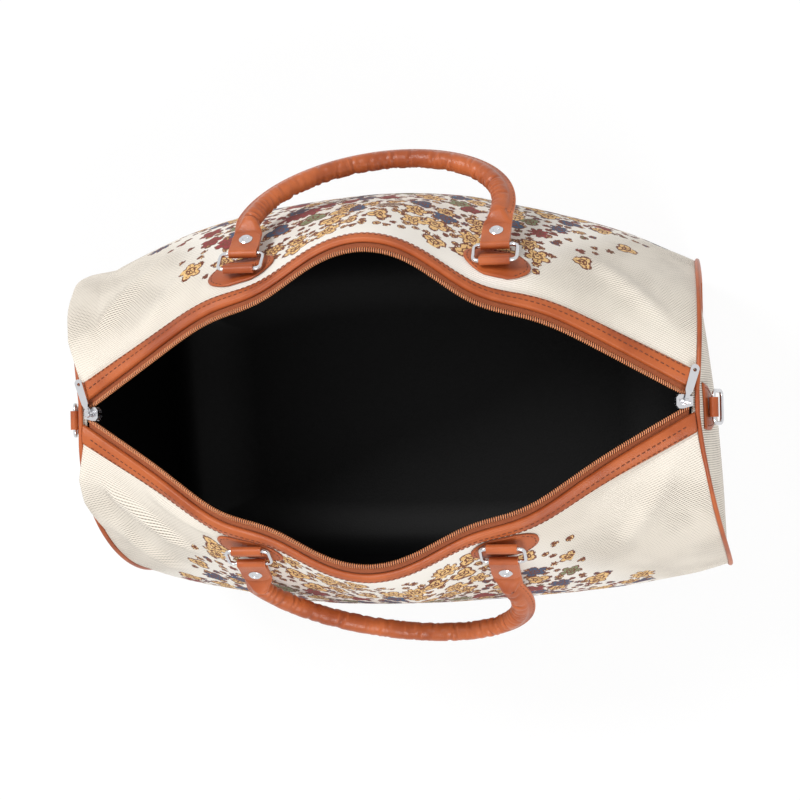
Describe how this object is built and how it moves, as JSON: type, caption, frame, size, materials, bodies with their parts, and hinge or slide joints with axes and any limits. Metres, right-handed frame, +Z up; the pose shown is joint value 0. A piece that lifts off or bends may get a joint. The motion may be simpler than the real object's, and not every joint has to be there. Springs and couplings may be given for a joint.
{
  "type": "travel bag",
  "caption": "Soft ribbed-cloth travel bag standing open, with a two-slider coil zip along its lens-shaped rim, piped ends, a dark lining and two rolled leather handles on wire rings.",
  "frame": {"origin": "middle of the base, on the surface it stands on", "axes": "+X along the bag towards its right end, +Y to its back, +Z up"},
  "size_m": [0.495, 0.374, 0.2909],
  "materials": {
    "tapestry": "cream ribbed jacquard weave",
    "lining_cloth": "thin black woven nylon",
    "stiffener": "plain board",
    "leather": "tan smooth grain, satin",
    "zip_tape": "tan woven tape",
    "zip_coil": "tan nylon coil",
    "nickel": "bright nickel"
  },
  "bodies": {
    "bag": {"front_panel": "tapestry", "back_panel": "tapestry", "base_panel": "tapestry", "left_end_panel": "tapestry", "right_end_panel": "tapestry", "lining": "lining_cloth", "base_board": "stiffener", "left_piping": "leather", "right_piping": "leather", "front_zip_trim": "leather", "back_zip_trim": "leather", "front_zip_tape": "zip_tape", "back_zip_tape": "zip_tape", "front_zip_coil": "zip_coil", "back_zip_coil": "zip_coil", "left_slider": "nickel", "right_slider": "nickel", "front_left_patch": "leather", "front_right_patch": "leather", "back_left_patch": "leather", "back_right_patch": "leather", "front_left_loop": "leather", "front_right_loop": "leather", "back_left_loop": "leather", "back_right_loop": "leather", "left_end_tab": "leather", "right_end_tab": "leather", "left_end_loop": "leather", "right_end_loop": "leather"},
    "front_rings": {"front_left_ring": "nickel", "front_right_ring": "nickel"},
    "back_rings": {"back_left_ring": "nickel", "back_right_ring": "nickel"},
    "back_handle_body": {"back_handle": "leather", "back_left_rivet": "nickel", "back_right_rivet": "nickel"},
    "front_handle_body": {"front_handle": "leather", "front_left_rivet": "nickel", "front_right_rivet": "nickel"},
    "left_pull_body": {"left_pull": "nickel"},
    "right_pull_body": {"right_pull": "nickel"},
    "left_strap_ring_body": {"left_strap_ring": "nickel"},
    "right_strap_ring_body": {"right_strap_ring": "nickel"}
  },
  "joints": [
    {"name": "back_rings_swing", "type": "hinge", "parent": "bag", "child": "back_rings", "pos_m": [0, 0.10212, 0.2771], "axis": [1, 0, 0], "range_deg": [0, 100]},
    {"name": "back_handle_swing", "type": "hinge", "parent": "back_rings", "child": "back_handle_body", "pos_m": [0, 0.11409, 0.26475], "axis": [1, 0, 0], "range_deg": [0, 60]},
    {"name": "front_rings_swing", "type": "hinge", "parent": "bag", "child": "front_rings", "pos_m": [0, -0.10121, 0.27651], "axis": [-1, 0, 0], "range_deg": [0, 100]},
    {"name": "front_handle_swing", "type": "hinge", "parent": "front_rings", "child": "front_handle_body", "pos_m": [0, -0.11089, 0.2623], "axis": [-1, 0, 0], "range_deg": [0, 60]},
    {"name": "left_pull_swing", "type": "hinge", "parent": "bag", "child": "left_pull_body", "pos_m": [-0.21994, 0.00001, 0.26409], "axis": [0.9068, 0.309, 0.2867], "range_deg": [0, 140]},
    {"name": "left_strap_ring_swing", "type": "hinge", "parent": "bag", "child": "left_strap_ring_body", "pos_m": [-0.23729, -0.0043, 0.2441], "axis": [0, 1, 0], "range_deg": [0, 120]},
    {"name": "right_pull_swing", "type": "hinge", "parent": "bag", "child": "right_pull_body", "pos_m": [0.21515, -0.00001, 0.2638], "axis": [0.914, -0.309, -0.2627], "range_deg": [0, 140]},
    {"name": "right_strap_ring_swing", "type": "hinge", "parent": "bag", "child": "right_strap_ring_body", "pos_m": [0.23423, -0.00437, 0.24458], "axis": [0, -1, 0], "range_deg": [0, 120]}
  ]
}
